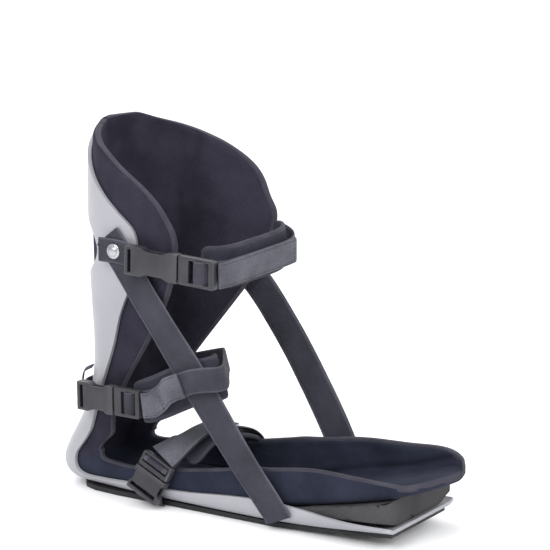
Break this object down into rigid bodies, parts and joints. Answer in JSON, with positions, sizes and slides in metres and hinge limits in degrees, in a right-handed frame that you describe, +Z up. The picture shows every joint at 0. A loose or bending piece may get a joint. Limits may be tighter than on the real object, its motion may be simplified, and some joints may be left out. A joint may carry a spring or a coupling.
{
  "type": "ankle foot orthosis",
  "caption": "Posterior night splint: grey L-shaped calf and foot shell, padded black liner, foam toe wedge, buckled cross straps and diagonal tension straps.",
  "frame": {"origin": "under the ankle on the mid-plane, on the bottom plane of the outsole", "axes": "+X towards the toes, +Z up the calf, the buckles on the -Y side"},
  "size_m": [0.3668, 0.1598, 0.3122],
  "materials": {
    "shell_plastic": "satin light grey moulded plastic",
    "sole_rubber": "matte black rubber",
    "wedge_foam": "matte dark grey closed-cell foam",
    "liner_cloth": "black navy brushed loop cloth over foam",
    "webbing": "woven black nylon webbing",
    "hook_tab_cloth": "grey hook-and-loop tab",
    "pad_cloth": "dark cloth over foam",
    "buckle_plastic": "black moulded acetal with a soft shine",
    "rivet_steel": "bright rivet head"
  },
  "bodies": {
    "shell_frame": {"shell": "shell_plastic", "calf_liner": "liner_cloth", "foot_liner": "liner_cloth", "outsole": "sole_rubber", "near_rivet": "rivet_steel", "far_rivet": "rivet_steel", "near_tension_strap": "webbing", "far_tension_strap": "webbing", "ankle_back_strap": "webbing", "ankle_strap_keeper": "webbing", "ankle_buckle_plug": "buckle_plastic", "ankle_webbing": "webbing", "ankle_pad": "pad_cloth", "instep_anchor": "webbing", "instep_buckle_socket": "buckle_plastic", "instep_webbing": "webbing", "instep_pad": "pad_cloth"},
    "wedge": {"toe_wedge": "wedge_foam"},
    "calf_cuff": {"upper_strap_tab": "webbing", "upper_strap_far_tab": "webbing", "upper_buckle_socket": "buckle_plastic"},
    "calf_strap": {"upper_buckle_plug": "buckle_plastic", "upper_webbing": "webbing", "upper_pad": "pad_cloth"},
    "calf_latch_a": {"upper_latch_arm_a": "buckle_plastic"},
    "calf_latch_b": {"upper_latch_arm_b": "buckle_plastic"},
    "calf_hook_tab": {"upper_hook_tab": "hook_tab_cloth"},
    "ankle_socket": {"ankle_buckle_socket": "buckle_plastic"},
    "ankle_latch_a": {"ankle_latch_arm_a": "buckle_plastic"},
    "ankle_latch_b": {"ankle_latch_arm_b": "buckle_plastic"},
    "ankle_flap": {"ankle_hook_tab": "hook_tab_cloth"},
    "instep_plug": {"instep_buckle_plug": "buckle_plastic"},
    "instep_latch_a": {"instep_latch_arm_a": "buckle_plastic"},
    "instep_latch_b": {"instep_latch_arm_b": "buckle_plastic"},
    "instep_flap": {"instep_hook_tab": "hook_tab_cloth"}
  },
  "joints": [
    {"name": "toe_wedge_slide", "type": "slide", "parent": "shell_frame", "child": "wedge", "axis": [0.9923, 0, 0.124], "range_m": [0, 0.06]},
    {"name": "calf_strap_swivel", "type": "hinge", "parent": "shell_frame", "child": "calf_cuff", "pos_m": [0.013, 0, 0.215], "axis": [0, 1, 0], "range_deg": [-15, 15]},
    {"name": "calf_buckle_release", "type": "slide", "parent": "calf_cuff", "child": "calf_strap", "axis": [0.9977, -0.0602, -0.0301], "range_m": [0, 0.034]},
    {"name": "calf_latch_a_squeeze", "type": "hinge", "parent": "calf_strap", "child": "calf_latch_a", "pos_m": [0.0824, -0.07426, 0.21644], "axis": [-0.0603, -0.9982, 0], "range_deg": [0, 4], "stiffness_Nm_per_rad": 0.03},
    {"name": "calf_latch_b_squeeze", "type": "hinge", "parent": "calf_strap", "child": "calf_latch_b", "pos_m": [0.08205, -0.07424, 0.20485], "axis": [0.0603, 0.9982, 0], "range_deg": [0, 4], "stiffness_Nm_per_rad": 0.03},
    {"name": "calf_hook_tab_peel", "type": "hinge", "parent": "calf_strap", "child": "calf_hook_tab", "pos_m": [0.11505, -0.07627, 0.20968], "axis": [-0.0301, 0.0018, -0.9995], "range_deg": [0, 60]},
    {"name": "ankle_buckle_release", "type": "slide", "parent": "shell_frame", "child": "ankle_socket", "axis": [-0.9981, 0.06, -0.015], "range_m": [0, 0.025]},
    {"name": "ankle_latch_a_squeeze", "type": "hinge", "parent": "shell_frame", "child": "ankle_latch_a", "pos_m": [0.00519, -0.05483, 0.09395], "axis": [-0.06, -0.9982, 0], "range_deg": [0, 5], "stiffness_Nm_per_rad": 0.03},
    {"name": "ankle_latch_b_squeeze", "type": "hinge", "parent": "shell_frame", "child": "ankle_latch_b", "pos_m": [0.00536, -0.05484, 0.08195], "axis": [0.06, 0.9982, 0], "range_deg": [0, 5], "stiffness_Nm_per_rad": 0.03},
    {"name": "ankle_hook_tab_peel", "type": "hinge", "parent": "shell_frame", "child": "ankle_flap", "pos_m": [0.0347, -0.0592, 0.0884], "axis": [0.015, -0.0009, -0.9999], "range_deg": [0, 60]},
    {"name": "instep_buckle_release", "type": "slide", "parent": "shell_frame", "child": "instep_plug", "axis": [0.3896, 0.1998, 0.8991], "range_m": [0, 0.015]},
    {"name": "instep_latch_a_squeeze", "type": "hinge", "parent": "instep_plug", "child": "instep_latch_a", "pos_m": [0.02873, -0.04717, 0.03273], "axis": [-0.0199, -0.9741, 0.2251], "range_deg": [0, 7], "stiffness_Nm_per_rad": 0.03},
    {"name": "instep_latch_b_squeeze", "type": "hinge", "parent": "instep_plug", "child": "instep_latch_b", "pos_m": [0.04715, -0.04928, 0.02522], "axis": [0.0199, 0.9741, -0.2251], "range_deg": [0, 7], "stiffness_Nm_per_rad": 0.03},
    {"name": "instep_hook_tab_peel", "type": "hinge", "parent": "instep_plug", "child": "instep_flap", "pos_m": [0.0454, -0.0463, 0.044], "axis": [0.9208, -0.1056, -0.3755], "range_deg": [0, 30]}
  ],
  "couplings": [
    {"joint": "calf_latch_b_squeeze", "follows": "calf_latch_a_squeeze", "ratio": 1},
    {"joint": "ankle_latch_b_squeeze", "follows": "ankle_latch_a_squeeze", "ratio": 1},
    {"joint": "instep_latch_b_squeeze", "follows": "instep_latch_a_squeeze", "ratio": 1}
  ]
}
